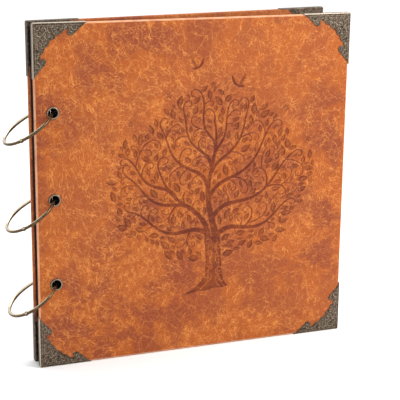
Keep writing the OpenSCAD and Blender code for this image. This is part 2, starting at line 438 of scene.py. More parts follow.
    for k in range(9):
        angle = math.radians(-8 + 196 * k / 8 + rnd.uniform(-5, 5))
        spot = np.array([cx + half[0] * 1.09 * math.cos(angle), cz + half[1] * 1.10 * math.sin(angle)])
        if relief.free(spot)[0] > 2.6:
            blossom(relief, spot, rnd.uniform(0, 6.28), 2.0)
    bird(relief, np.array([cx - 0.17 * half[0], cz + 1.36 * half[1]]), 9.7, -1)
    bird(relief, np.array([cx + 0.26 * half[0], cz + 1.13 * half[1]]), 11.2, 1)
    trunk(relief, fork + [0.8, 0], foot)


def leaf(relief, base, along, wide, rnd):
    """An almond with a heavy and a light side, a dim inside, a paler midrib and a short stem."""
    s = np.linspace(0, 1, 9)
    size = np.hypot(*along)
    across = np.array([-along[1], along[0]]) / size
    swell = wide * np.sin(math.pi * s ** 0.8)
    middle = base + np.outer(s, along)
    relief.line(middle[1:-1], 0.8 * swell[1:-1], depth=0.6, tone=0.62, soft=0.26)
    heavy = rnd.choice((-1, 1))
    for side, line in ((heavy, 0.42), (-heavy, 0.2)):
        edge = middle + np.outer(side * swell, across)
        widths = line * size / 7 * (0.55 + 0.6 * np.sin(math.pi * s))
        relief.line(edge, widths, depth=0.95, tone=1.0, soft=0.2)
    relief.line(middle[1:6], np.full(5, 0.12), depth=0.5, tone=0.8, soft=0.2, raised=True, claim=False)
    relief.line(np.array([base - 0.22 * along, base]), np.array([0.1, 0.22]), depth=0.8, tone=0.8, soft=0.26)


def blossom(relief, spot, turn, size):
    for k in range(5):
        a = turn + k * 2 * math.pi / 5
        way = np.array([math.cos(a), math.sin(a)]) * size
        petal = np.array([spot + 0.45 * way, spot + way])
        relief.line(petal, np.array([0.2, 0.55]), depth=0.8, tone=0.75, soft=0.25)


def bird(relief, spot, span, facing):
    """A gliding bird: a dark wing running into a plump body, and a broad far wing pressed only dimly."""
    t = np.linspace(0, 1, 12)

    def curve(begin, pull, end):
        parts = ((1 - t) ** 2, 2 * t * (1 - t), t ** 2)
        bent = sum(np.outer(part, p) for part, p in zip(parts, (begin, pull, end)))
        return spot + span * bent * [facing, 1]

    far = curve((0.02, -0.26), (0.30, -0.06), (0.46, 0.42))
    relief.line(far, 0.12 * span * np.sin(math.pi * (0.1 + 0.86 * t)), depth=0.6, tone=0.55, soft=0.3)
    relief.line(far, 0.035 * span * (1 - 0.5 * t), depth=0.8, tone=0.9, claim=False)
    relief.line(curve((-0.46, 0.40), (-0.40, -0.16), (-0.08, -0.28)),
                0.085 * span * np.sin(math.pi * (0.08 + 0.7 * t)), tone=1.0)
    relief.line(curve((-0.26, -0.20), (0.06, -0.42), (0.44, -0.36)),
                0.085 * span * np.sin(math.pi * (0.06 + 0.9 * t)) + 0.08, tone=0.95)


def trunk(relief, fork, foot):
    """A waisted trunk on pointed roots, pressed dark, with raised scrolls."""
    tall = fork[1] - foot
    part, x, z = relief.near([fork[0], foot + tall / 2], 34)
    up = np.clip((z - foot) / tall, -0.3, 1)
    sway = 1.1 * np.sin(3.6 * up)
    left = fork[0] + sway - 5.6 - 20.0 * np.exp(-6.5 * up) - 0.7 * up
    right = fork[0] + sway + 5.4 + 14.0 * np.exp(-7.5 * up) + 0.5 * up
    under = foot + 0.09 * (x - fork[0] + 26) + 0.9 * np.abs(np.sin(math.pi * (x - fork[0] + 21) / 15))
    deep = np.minimum(np.minimum(x - left, right - x), np.minimum(z - under, fork[1] + 4 - z))
    relief.press(part, smooth((deep + 0.3) / 0.6), 0.7, 0.78)
    outline = smooth((0.75 - np.abs(deep - 0.35)) / 0.5)
    relief.press(part, outline, 0.95, 0.95)
    scroll = dict(depth=0.8, tone=0.95, soft=0.2, raised=True, claim=False)
    for k in range(8):
        share = 0.1 + 0.11 * k
        side = 1 if k % 2 else -1
        half = 5.2 + 9 * math.exp(-8 * share)
        begin = np.array([fork[0] + 1.1 * math.sin(3.6 * share) - side * half * 0.6, foot + share * tall])
        curl = tendril(begin, math.radians(90 - side * 52), 2.9 * half, side * math.radians(390), 0.35, 0.9)
        relief.line(curl, np.full(len(curl), 0.34), **scroll)
    t = np.linspace(0, 1, 30)
    for side in (-1, 1):
        wide = 3.4 + 6.5 * np.exp(-8 * t)
        rise = np.stack([fork[0] + 1.1 * np.sin(3.6 * t) + side * wide + 0.8 * np.sin(14 * t),
                         foot + 4 + (tall - 5) * t], 1)
        relief.line(rise, np.full(30, 0.3), **scroll)


# ---- covers
def ripple(rnd, count=9, tallest=0.035, shortest=18.0):
    """A very slight unevenness, as leather has over a board."""
    waves = []
    for _ in range(count):
        a, wave = rnd.uniform(0, 6.28), shortest * (1 + 2 * rnd.random())
        waves.append((math.cos(a) * 6.28 / wave, math.sin(a) * 6.28 / wave, rnd.uniform(0, 6.28)))
    return lambda x, z: tallest * sum(np.sin(kx * x + kz * z + p) for kx, kz, p in waves) / math.sqrt(count)


def cover_leather(side, material, design=None, seed=1):
    """The leather of one cover as a closed shell: grained face, rounded edges and turned-in flaps."""
    edge = metal_t
    out_r, in_r = 1.6, 1.2
    inset = edge + out_r
    a = np.array([inset, inset])
    b = np.array([cover_w - inset, cover_h - inset])
    cells, levels = (37, 38), 4
    n = np.array(cells) * 2 ** levels
    relief = Relief(a, (b - a) / n, n + 1)
    if design:
        design(relief)
    wave = ripple(random.Random(seed))
    holes = [(hole_x, z) for z in hole_z]

    def rough(xs, zs):
        d = relief.depth
        return np.ptp(np.stack([d[:-1, :-1], d[1:, :-1], d[:-1, 1:], d[1:, 1:]]), 0) > 0.06

    def height(p):
        """How far the face sits in from y = 0, and the pressed design's tone."""
        ij = np.rint((p - a) / relief.step).astype(int)
        depth, tone = relief.depth[ij[:, 0], ij[:, 1]], relief.tone[ij[:, 0], ij[:, 1]]
        rim = np.minimum.reduce([p[:, 0] - a[0], p[:, 1] - a[1], b[0] - p[:, 0], b[1] - p[:, 1]])
        soft = smooth(rim / 5)
        y = 0.45 * depth + (wave(p[:, 0], p[:, 1]) + 0.06) * soft
        for hx, hz in holes:
            r = np.hypot(p[:, 0] - hx, p[:, 1] - hz)
            y += 0.16 * hump(r - rim_r, 1.5) * (r > 0)
        return y, tone

    shape = Shape()
    flat, faces, outer, rings = patch(a, b, cells, levels, rough, holes, 5.0)
    y, tone = height(flat)
    shape.add(at_level(flat, y), faces, tone)

    def collar(rings_here, sheet, level_y, back):
        """The sheet between an opening's square and the eyelet, down to the hole's own edge."""
        for (hx, hz), loop in zip(holes, rings_here):
            m = len(loop)
            turn = -math.pi + 2 * math.pi * np.arange(m) / m
            eye = circle(hx, hz, rim_r - 0.15, m)
            rows = []
            for t in np.linspace(0, 1, 9 if not back else 2):
                q = sheet[loop] * t + eye * (1 - t)
                puckered = 0.03 * np.sin(turn * 11 + hz) * math.exp(-((t - 0.3) / 0.25) ** 2)
                rows.append(at_level(q, level_y if back else height(q)[0] + puckered))
            if not back:
                wall = rows[0].copy()
                wall[:, 1] = leather_t
                rows.insert(0, wall)
            shape.grid(np.array(rows), closed_v=True)

    collar(rings, flat, 0, False)

    # Edges: the face's rounded edge, the side, the flap's rounded edge and the flap
    ring = flat[outer]
    way = np.where(ring <= a + 1e-6, -1.0, 0) + np.where(ring >= b - 1e-6, 1.0, 0)
    profile = [(out_r * math.sin(t), out_r - out_r * math.cos(t)) for t in np.linspace(0, math.pi / 2, 7)]
    profile += [(out_r, cover_t / 2)]
    profile += [(out_r - in_r + in_r * math.cos(t), cover_t - in_r + in_r * math.sin(t))
                for t in np.linspace(0, math.pi / 2, 6)]
    reach = np.array([turn_in, turn_in]) - [[turn_in - spine_turn_in, 0]] * (way[:, :1] < 0)
    flap_end, under_flap = out_r - reach, cover_t - 0.68
    profile += [(flap_end + 0.12, cover_t - 0.01), (flap_end, cover_t - 0.1), (flap_end, under_flap)]
    profile += [(out_r - leather_t, under_flap), (out_r - leather_t, leather_t), (0, leather_t)]
    inner_low = np.array([edge + spine_turn_in, edge + turn_in])
    inner_high = np.array([cover_w, cover_h]) - edge - turn_in
    rows = []
    under_metal = lambda p: np.minimum(p[:, 0], cover_w - p[:, 0]) + np.minimum(p[:, 1], cover_h - p[:, 1])
    for off, level_y in profile:
        q = ring + way * off
        if np.ndim(off):
            crown = 0.12 * (level_y > cover_t - 0.05)
            q = np.clip(q, inner_low - crown, inner_high + crown)
        yy = np.full(len(q), level_y)
        if level_y > cover_t - 0.5:
            yy = yy - 0.3 * (under_metal(q) < flange_leg + 1)
        rows.append(at_level(q, yy))
    rows[0][:, 1] = y[outer]
    # the rounded outer edge is marked for a pale colour: partly rubbed wear, partly a painted highlight along
    # the edge
    rubbed_and_highlit_edge = np.zeros((len(rows), len(ring)))
    rubbed_and_highlit_edge[2:7] = -1.0
    shape.grid(np.array(rows), closed_v=True, mark=rubbed_and_highlit_edge)

    # Underside of the face
    under, faces, _, rings = patch(a, b, cells, levels, no_detail, holes, 5.0)
    shape.add(at_level(under, leather_t), faces)
    collar(rings, under, leather_t, True)
    cover_piece(side, "cover_leather", "leather", shape, material, SIDES[side][1])


# ---- metal corners
def polygon_distance(x, z, corners):
    """Distance to a polygon's outline, negative inside."""
    near, crossed = np.full(x.shape, 1e9), np.zeros(x.shape, bool)
    for p, q in zip(corners, corners[1:] + corners[:1]):
        near = np.minimum(near, segment_distance(x, z, np.array(p, float), np.array(q, float) - p))
        spans = (z > p[1]) != (z > q[1])
        at = p[0] + (z - p[1]) * (q[0] - p[0]) / (q[1] - p[1] if q[1] != p[1] else 1e-9)
        crossed ^= spans & (x < at)
    return np.where(crossed, -near, near)


def corner_distance(x, z):
    """The outline of a corner's face: two legs with hooked lobes, notches and a stepped diagonal."""
    leg = [(-5, -5), (corner_leg + 0.5, -5), (corner_leg, 0), (31, 8), (28.4, 9.6), (25.8, 8.6), (26.4, 5),
           (22, 6.4), (18, 9.2), (13, 13), (-5, 13)]
    lobes = ((28.2, 7.2, 2.5), (19.6, 6.0, 2.6), (14.6, 9.6, 2.6))

    def half(u, v):
        d = polygon_distance(u, v, leg)
        for cu, cv, r in lobes:
            round_d = np.hypot(u - cu, v - cv) - r
            blend = np.clip(0.5 + 0.5 * (d - round_d) / 0.7, 0, 1)
            d = d * (1 - blend) + round_d * blend - 0.7 * blend * (1 - blend)
        return d
    return np.minimum(np.maximum(half(x, z), z - 13), np.maximum(half(z, x), x - 13))


CORNER_FOLD, CORNER_STEP = 0.8, 0.25
brad_spots = ((brad_along, brad_in), (brad_in, brad_along))


def dots(relief, spots, r, depth):
    for spot in spots:
        ends = np.array([spot, np.array(spot) + [0.01, 0]], float)
        relief.line(ends, np.full(2, r), depth, depth, 0.3, claim=False)


def corner_motif(relief, rnd):
    """Half of a corner's raised ornament, beads, rosettes and filigree curls; the other half mirrors it."""
    dots(relief, [(x, 2.1) for x in np.arange(3.4, 38, 1.25)], 0.34, 0.8)
    for cx, cz, r, petals in ((28.3, 7.0, 1.35, 8), (19.8, 6.1, 1.1, 7), (14.4, 9.4, 1.1, 7)):
        turn = [2 * math.pi * k / petals for k in range(petals)]
        dots(relief, [(cx + r * math.cos(t), cz + r * math.sin(t)) for t in turn], 0.26 * r, 0.6)
        dots(relief, [(cx, cz)], 0.4 * r, 0.7)
        relief.claim(np.array([[cx, cz], [cx + 0.01, cz]]), [r, r])
    for length, tries in ((9.0, 500), (6.0, 900), (3.8, 1400), (2.2, 1500)):
        for _ in range(tries):
            begin = np.array([rnd.uniform(3.2, 36), rnd.uniform(3.0, 12.5)])
            heading = rnd.uniform(0, 6.28)
            turn = rnd.choice((-1, 1)) * rnd.uniform(4.6, 6.4)
            curl = tendril(begin, heading, length, turn, 0.3, 1.2)
            on_plate = (corner_distance(curl[:, 0], curl[:, 1]) < -1.0).all() and (curl[:, 1] > 2.9).all()
            if on_plate and (curl[:, 1] < curl[:, 0] - 0.3).all() and (relief.free(curl) > 0.62).all():
                relief.line(curl, taper(len(curl), 0.30, 0.17), 0.75, 0.7, soft=0.26)


def corner_ornament(fold, step):
    """How far the ornament lifts a corner's face, over a grid that starts at the folds."""
    n = int((corner_leg - fold) / step) + 1
    relief = Relief((fold, fold), (step, step), (n, n))
    corner_motif(relief, random.Random(11))
    return np.maximum(relief.depth, relief.depth.T)


def snapped_plate(shape, fold, size, step, distance, top, bottom, marks):
    """A thin plate cut along distance = 0 from a grid that starts at the fold lines, as a closed solid."""
    n = int((size - fold) / step) + 1
    x, z = np.meshgrid(fold + step * np.arange(n), fold + step * np.arange(n), indexing="ij")
    d = distance(x, z)
    gx, gz = np.gradient(d, step)
    g = np.maximum(gx ** 2 + gz ** 2, 0.2)
    close = np.abs(d) < 0.8 * step
    x2, z2 = np.where(close, x - d * gx / g, x), np.where(close, z - d * gz / g, z)
    x2[0], z2[:, 0] = fold, fold
    good = d < 0.8 * step
    keep = good[:-1, :-1] & good[1:, :-1] & good[:-1, 1:] & good[1:, 1:]
    keep &= (d[:-1, :-1] + d[1:, :-1] + d[:-1, 1:] + d[1:, 1:]) < 0
    i, j = np.nonzero(keep)
    index = np.arange(n * n).reshape(n, n)
    quads = np.stack([index[i, j], index[i + 1, j], index[i + 1, j + 1], index[i, j + 1]], 1)
    ids, back = np.unique(quads, return_inverse=True)
    quads = back.reshape(-1, 4)
    px, pz = x2.ravel()[ids], z2.ravel()[ids]
    upper = np.stack([px, top(x, z, d).ravel()[ids], pz], 1)
    lower = np.stack([px, np.full(len(px), bottom), pz], 1)
    m = len(px)
    sides = np.stack([quads, np.roll(quads, -1, 1)], 2).reshape(-1, 2)
    key = np.sort(sides, 1)
    _, first, count = np.unique(key, axis=0, return_index=True, return_counts=True)
    rim = sides[first[count == 1]]
    faces = quads.tolist() + (quads[:, ::-1] + m).tolist() + [(a, a + m, b + m, b) for a, b in rim]
    tone = marks(x, z, d).ravel()[ids]
    shape.add(np.vstack([upper, lower]), faces, np.concatenate([tone, tone * 0]))


def metal_corner(side, top, fore, lift, material):
    """One metal corner: ornamented face, folded edges and the flange inside the cover."""
    name = f"corner_{'top' if top else 'bottom'}_{'fore' if fore else 'spine'}"
    fold, base, step = CORNER_FOLD, 0.36, CORNER_STEP

    def swell(x, z, d):
        rim = hump(d + 0.62, 0.34) * smooth((np.minimum(x, z) - fold) / 0.8)
        inner = smooth((-d - 0.9) / 0.5) * smooth((np.minimum(x, z) - fold) / 0.7)
        return np.maximum(0.13 * rim, 0.28 * lift * inner)

    shape = Shape()
    snapped_plate(shape, fold, corner_leg, step, corner_distance,
                  lambda x, z, d: -base - swell(x, z, d) + 0.12 * smooth((d + 0.25) / 0.4), 0.0,
                  lambda x, z, d: 3.2 * swell(x, z, d))

    # The folded edge, as a closed profile swept round the corner
    t = np.linspace(0, math.pi / 2, 6)
    outer = [(fold * math.sin(a), fold - base - fold * math.cos(a)) for a in t]
    outer += [(fold, 0.8), (fold, cover_t / 2)]
    outer += [(fold * math.cos(a), cover_t - fold + fold * math.sin(a)) for a in t]
    thin = 0.4
    inner = [(max(u - thin * (u / fold) ** 0.5, 0), min(max(v, -base + thin), cover_t - thin))
             for u, v in outer[::-1]]
    profile = outer + inner
    turn_r = 0.4
    track = [((u, fold), (0, -1)) for u in np.linspace(corner_leg, fold + turn_r, 24)]
    for a in np.radians(np.linspace(-90, -180, 7)):
        c = fold + turn_r
        track.append(((c + turn_r * math.cos(a), c + turn_r * math.sin(a)), (math.cos(a), math.sin(a))))
    track += [((fold, u), (-1, 0)) for u in np.linspace(fold + turn_r, corner_leg, 24)]
    rows = [[(u + nu * off, level_y, w + nw * off) for off, level_y in profile] for (u, w), (nu, nw) in track]
    # the front of the fold is marked for the paler edge colour
    tone_amount = [1.6 * hump(off - 0.6, 0.3) if level_y < 0.6 else 0.1 for off, level_y in profile]
    shape.grid(np.array(rows), closed_v=True, mark=np.array([tone_amount] * len(rows)))
    for end in (rows[0], rows[-1]):
        k = len(outer)
        shape.add(end, [(i, i + 1, 2 * k - 2 - i, 2 * k - 1 - i) for i in range(k - 1)])

    # The flange inside, with its raised rim, mitre seam and hole for the brad
    triangle = [(-5, -5), (flange_leg + 5, -5), (-5, flange_leg + 5)]

    def flange(x, z):
        holes = [brad_r + 0.06 - np.hypot(x - u, z - w) for u, w in brad_spots]
        return np.maximum(polygon_distance(x, z, triangle), np.maximum(*holes))

    def flange_top(x, z, d):
        seam = hump(x - z, 0.28) * (x + z < flange_leg - 2)
        return cover_t - 0.12 + 0.11 * hump(d + 0.7, 0.45) - 0.12 * seam

    snapped_plate(shape, fold, flange_leg, 0.3, flange, flange_top, cover_t - 0.45,
                  lambda x, z, d: 0.35 * hump(d + 0.7, 0.45))
    for points in shape.points:
        if fore:
            points[:, 0] = cover_w - points[:, 0]
        if top:
            points[:, 2] = cover_h - points[:, 2]
    cover_piece(side, f"{name}_metal", name, shape, material, sharp=50)


# ---- turned metal: brads, eyelets, pins
def lathe(shape, profile, centre, way, count=48, closed=False, mark=0.0):
    """A profile of radii and heights turned about an axis."""
    way = np.asarray(way, float) / np.linalg.norm(way)
    side = np.cross(way, [0.31, 0.87, 0.38])
    side /= np.linalg.norm(side)
    other = np.cross(way, side)
    turn = 2 * math.pi * np.arange(count) / count
    spokes = np.outer(np.cos(turn), side) + np.outer(np.sin(turn), other)
    rows = [centre + way * h + r * spokes for r, h in profile]
    shape.grid(np.array(rows), closed_u=closed, closed_v=True, mark=mark)


def brads(side, material):
    shank_r, head_y = 0.55, cover_t - 0.22
    dome = [(0.02, cover_t - 3.0), (shank_r, cover_t - 3.0), (shank_r, cover_t - 0.4)]
    dome += [(brad_r, cover_t - 0.4), (brad_r, head_y)]
    dome += [(brad_r * math.cos(a), head_y + 0.26 * math.sin(a)) for a in np.radians([15, 35, 55, 72, 84])]
    dome += [(0.02, cover_t + 0.04)]
    shape = Shape()
    for u, w in brad_spots:
        for x in (u, cover_w - u):
            for z in (w, cover_h - w):
                lathe(shape, dome, np.array([x, 0, z]), (0, 1, 0), 24, closed=True)
    cover_piece(side, "cover_brads", "brads", shape, material, toned=False)


def eyelet(side, number, material):
    """A rolled eyelet: a proud bead outside, a barrel and a clenched flare inside."""
    bead = (rim_r - eyelet_r) / 2
    t = np.radians(np.linspace(0, 180, 13))
    outside = [(eyelet_r + bead + bead * math.cos(a), bead - rim_proud - bead * math.sin(a)) for a in t]
    flare = [(eyelet_r + 0.65 - 0.65 * math.cos(a), cover_t - 0.65 + 0.65 * math.sin(a))
             for a in np.radians(np.linspace(0, 90, 7))]
    back = [(eyelet_r + 1.2, cover_t - 0.05), (eyelet_r + 1.3, cover_t - 0.3)]
    back += [(eyelet_r + 1.2, cover_t - 0.45), (eyelet_r + 0.45, cover_t - 0.5)]
    back += [(eyelet_r + 0.45, 0.5), (rim_r - 0.12, 0.5)]
    profile = outside + [(eyelet_r, 1.6), (eyelet_r, 3.0)] + flare + back
    tone = [math.sin(a) ** 2 for a in t] + [0.2] * (len(profile) - len(outside))
    shape = Shape()
    lathe(shape, profile, np.array([hole_x, 0, hole_z[number - 1]]), (0, 1, 0), 72, closed=True,
          mark=np.repeat(np.array(tone)[:, None], 72, 1))
    cover_piece(side, f"cover_eyelet_{number}", f"eyelet_{number}", shape, material)


# ---- rings
class Ring:
    """One ring's own axes: e1 points at its innermost side, the front cover lies towards -e2."""

    def __init__(self, number):
        arm, gate = f"ring_{number}_arm", f"ring_{number}_gate"
        self.centre = (np.minimum(low(arm), low(gate)) + np.maximum(high(arm), high(gate))) / 2
        self.joint = joints[f"ring_{number}_gate_hinge"]
        self.pin = np.array(self.joint["pos_m"]) / MM
        self.n = -np.array(self.joint["axis"])  # points up
        out = self.pin - self.centre
        self.centre = self.centre + self.n * (out @ self.n)
        out = self.pin - self.centre
        self.r = np.linalg.norm(out)
        out /= self.r
        c, s = math.cos(hinge_at), math.sin(hinge_at)
        self.e1 = out * c + np.cross(self.n, out) * s
        self.e2 = np.cross(self.n, self.e1)

    def tube(self, shape, start, end, keep=lambda u, v: (u, v), count=None, steps_round=28):
        """Wire from one angle to another; keep() cuts its section down where it is lapped or slotted."""
        count = count or max(int(abs(end - start) / math.radians(1.6)), 2)
        a = 2 * math.pi * np.arange(steps_round) / steps_round
        u, v = keep(wire_r * np.cos(a), wire_r * np.sin(a))
        rows = []
        for t in np.linspace(start, end, count + 1):
            out = math.cos(t) * self.e1 + math.sin(t) * self.e2
            rows.append(self.centre + np.outer(self.r + u, out) + np.outer(v, self.n))
        # the wire's upper side is marked for a painted highlight; the unmarked underside stays dark
        tone_amount = np.clip(np.sin(a - 0.35), 0, 1) ** 1.6
        shape.grid(np.array(rows), closed_v=True, mark=np.tile(tone_amount, (len(rows), 1)))
        for row in (rows[0], rows[-1]):
            shape.fan(row, row.mean(0))


def ring_pieces(number, metal, pin_metal):
    ring = Ring(number)
    lap, gap, cut = math.radians(6), math.radians(0.84), 0.125
    tongue, slot = 0.4, 0.45
    near_pin, gate_from = 1.55 / ring.r, 1.5 / ring.r
    arm, gate, rivet = Shape(), Shape(), Shape()
    ring.tube(arm, -closure_at, 2 * math.pi - hinge_at - near_pin)
    ring.tube(arm, -closure_at - lap, -closure_at, lambda u, v: (np.minimum(u, -cut), v), 8)
    for half in (-1, 1):
        ring.tube(arm, 2 * math.pi - hinge_at - near_pin, 2 * math.pi - hinge_at,
                  lambda u, v: (u, half * np.maximum(half * v, slot)), 4)
        edge = 0.12
        cheek = [(0.02, slot), (ear_r - edge, slot), (ear_r, slot + edge), (ear_r, wire_r - edge),
                 (ear_r - edge, wire_r), (0.02, wire_r)]
        # the upper cheek is marked brighter as a painted highlight, the lower one darker as painted shade
        lathe(arm, cheek, ring.pin, ring.n * half, 40, closed=True, mark=0.4 + 0.3 * half)
    ring.tube(gate, -hinge_at + gate_from, -closure_at - lap - gap)
    ring.tube(gate, -closure_at - lap - gap, -closure_at - gap, lambda u, v: (np.maximum(u, cut), v), 8)
    ring.tube(gate, -hinge_at + 0.8 / ring.r, -hinge_at + gate_from,
              lambda u, v: (u, np.clip(v, -tongue, tongue)), 4)
    disc = [(0.66, -tongue), (tongue_r - 0.1, -tongue), (tongue_r, -tongue + 0.1)]
    disc += [(tongue_r, tongue - 0.1), (tongue_r - 0.1, tongue), (0.66, tongue)]
    lathe(gate, disc, ring.pin, ring.n, 40, closed=True)
    rivet_half = [(0.02, 0), (0.58, 0), (0.58, wire_r), (0.85, wire_r), (0.83, wire_r + 0.06),
                  (0.7, wire_r + 0.11), (0.4, wire_r + 0.14), (0.02, wire_r + 0.15)]
    for half in (-1, 1):
        lathe(rivet, rivet_half, ring.pin, ring.n * half, 32, closed=True)
    for shape, name, part, body, finish, slot in ((arm, "arm_wire", "arm", "arm", metal, "ring_metal"),
                                                  (gate, "gate_wire", "gate", "gate", metal, "ring_metal"),
                                                  (rivet, "rivet", "pin", "arm", pin_metal, "pin_metal")):
        points, faces, marks = shape.all()
        add_piece(f"ring_{number}_{name}", points, faces, finish, f"ring_{number}_{body}",
                  [f"ring_{number}_{part}"], sharp=40, values={"tone": marks})


# ---- leaves
def leaf_packs(material):
    """Each pack is four sheets of card, a little uneven and gently waved, punched with three holes."""
    box_low, box_high = low("leaf_pack_1"), high("leaf_pack_1")
    left, wide = box_low[0] - start[0], box_high[0] - box_low[0]
    foot, tall = box_low[2], box_high[2] - box_low[2]
    middle_y = axis[1] - start[1]
    packs, sheets, pack_t, card = 6, 4, 1.0, 0.225
    pitch = pack_t + (2 * (middle_y - cover_t) - packs * pack_t) / (packs + 1)
    punch_r, punch_x, punch_rise = 4.2, hole_x + 0.9, 2.8
    holes = [(punch_x, z + punch_rise) for z in hole_z]
    a, b = np.array([left + 0.1, foot + 0.1]), np.array([left + wide - 0.1, foot + tall - 0.1])
    flat, faces, outer, rings = patch(a, b, (24, 24), 4, no_detail, holes, 5.4)
    for number in range(1, packs + 1):
        rnd = random.Random(40 + number)
        wave = ripple(rnd, 5, 0.07, 70)
        follows = joints[f"leaf_pack_{number}_turn"]["range_deg"][1] / hinge["range_deg"][1]
        turn = open_angle * (1 - round(follows, 2))
        shape = Shape()
        for k in range(sheets):
            level_y = middle_y + (number - (packs + 1) / 2) * pitch
            level_y += (k - (sheets - 1) / 2) * pack_t / sheets
            trim = np.array([rnd.uniform(0, 0.35), rnd.uniform(0, 0.3)])

            def at(p, off):
                q = p - trim * smooth(((p - a) / (b - a) - 0.9) / 0.1)
                bow = wave(q[:, 0], q[:, 1]) * smooth((q[:, 0] - left - 25) / 60)
                return at_level(q, level_y + bow + off)

            for off in (-card / 2, card / 2):
                shape.add(at(flat, off), faces)
            loop = flat[outer]
            shape.grid(np.array([at(loop, -card / 2), at(loop, card / 2)]), closed_v=True)
            for (hx, hz), ids in zip(holes, rings):
                square, punched = flat[ids], circle(hx, hz, punch_r, len(ids))
                shape.grid(np.array([at(square, -card / 2), at(punched, -card / 2), at(punched, card / 2),
                                     at(square, card / 2)]), closed_v=True)
        points, all_faces, _ = shape.all()
        points = spun(points + start - axis, turn) + axis
        add_piece(f"leaf_pack_{number}_cards", points, all_faces, material, f"leaf_pack_{number}",
                  [f"leaf_pack_{number}"])


# ---- materials
class Look:
    """A material's nodes, added one after another."""

    def __init__(self, name, **fixed):
        self.material = bpy.data.materials.new(name)
        self.material.use_nodes = True
        self.tree = self.material.node_tree
        self.shader = self.tree.nodes["Principled BSDF"]
        for key, value in fixed.items():
            self.shader.inputs[key.replace("_", " ")].default_value = value
        self.where = self.tree.nodes.new("ShaderNodeTexCoord").outputs["Object"]

    def node(self, kind, inputs=None, **settings):
        made = self.tree.nodes.new(kind)
        for key, value in settings.items():
            setattr(made, key, value)
        for key, value in (inputs or {}).items():
            self.feed(made.inputs[key], value)
        return made

    def feed(self, socket, value):
        if isinstance(value, bpy.types.NodeSocket):
            self.tree.links.new(value, socket)
        else:
            socket.default_value = value

    def noise(self, scale, detail=3.0, rough=0.5, where=None):
        inputs = {"Vector": where or self.where, "Scale": scale, "Detail": detail, "Roughness": rough}
        return self.node("ShaderNodeTexNoise", inputs).outputs["Fac"]

    def vector(self, operation, a, b):
        return self.node("ShaderNodeVectorMath", {0: a, 1: b}, operation=operation).outputs[0]

    def warped(self, scale, amount, where=None):
        """Coordinates pushed about by noise, amount in metres."""
        where = where or self.where
        noise = self.node("ShaderNodeTexNoise", {"Vector": where, "Scale": scale, "Detail": 3.0})
        push = self.vector("SUBTRACT", noise.outputs["Color"], (0.5, 0.5, 0.5))
        push = self.node("ShaderNodeVectorMath", {0: push, "Scale": amount}, operation="SCALE").outputs[0]
        return self.vector("ADD", where, push)

    def cracks(self, scale, where, edge=True):
        made = self.node("ShaderNodeTexVoronoi", {"Vector": where, "Scale": scale},
                         feature="DISTANCE_TO_EDGE" if edge else "F1")
        return made.outputs["Distance"]

    def span(self, value, low_in, high_in, low_out=0.0, high_out=1.0):
        made = self.node("ShaderNodeMapRange", {"Value": value, "From Min": low_in, "From Max": high_in,
                                                "To Min": low_out, "To Max": high_out})
        made.interpolation_type = "SMOOTHSTEP"
        return made.outputs["Result"]

    def maths(self, operation, a, b=0.0):
        return self.node("ShaderNodeMath", {0: a, 1: b}, operation=operation).outputs[0]

    def times(self, a, b):
        return self.maths("MULTIPLY", a, b)

    def mix(self, share, a, b, mode="MIX"):
        made = self.node("ShaderNodeMix", data_type="RGBA", blend_type=mode)
        self.feed(made.inputs[0], share)
        for socket, value in ((made.inputs[6], a), (made.inputs[7], b)):
            self.feed(socket, value if isinstance(value, bpy.types.NodeSocket) else (*value, 1.0))
        return made.outputs[2]

    def strands(self, angle, scale, thin, where):
        """Long thin hairs across the cover at an angle: the level lines of stretched noise."""
        inputs = {"Vector": where, "Angle": angle}
        turned = self.node("ShaderNodeVectorRotate", inputs, rotation_type="Y_AXIS").outputs[0]
        drawn = self.vector("MULTIPLY", turned, (1.0, 1.0, 0.28))
        level = self.maths("SUBTRACT", self.noise(scale, 2.0, 0.5, drawn), 0.5)
        return self.span(self.maths("ABSOLUTE", level), 0.0, thin, 1.0, 0.0)

    def mark(self):
        return self.node("ShaderNodeAttribute", attribute_name="tone").outputs["Fac"]

    def bump(self, height, strength, depth, below=None):
        inputs = {"Height": height, "Strength": strength, "Distance": depth}
        if below is not None:
            inputs["Normal"] = below
        return self.node("ShaderNodeBump", inputs).outputs["Normal"]

    def finish(self, colour, rough, normal=None):
        self.feed(self.shader.inputs["Base Color"], colour)
        self.feed(self.shader.inputs["Roughness"], rough)
        if normal is not None:
            self.feed(self.shader.inputs["Normal"], normal)
        return self.material


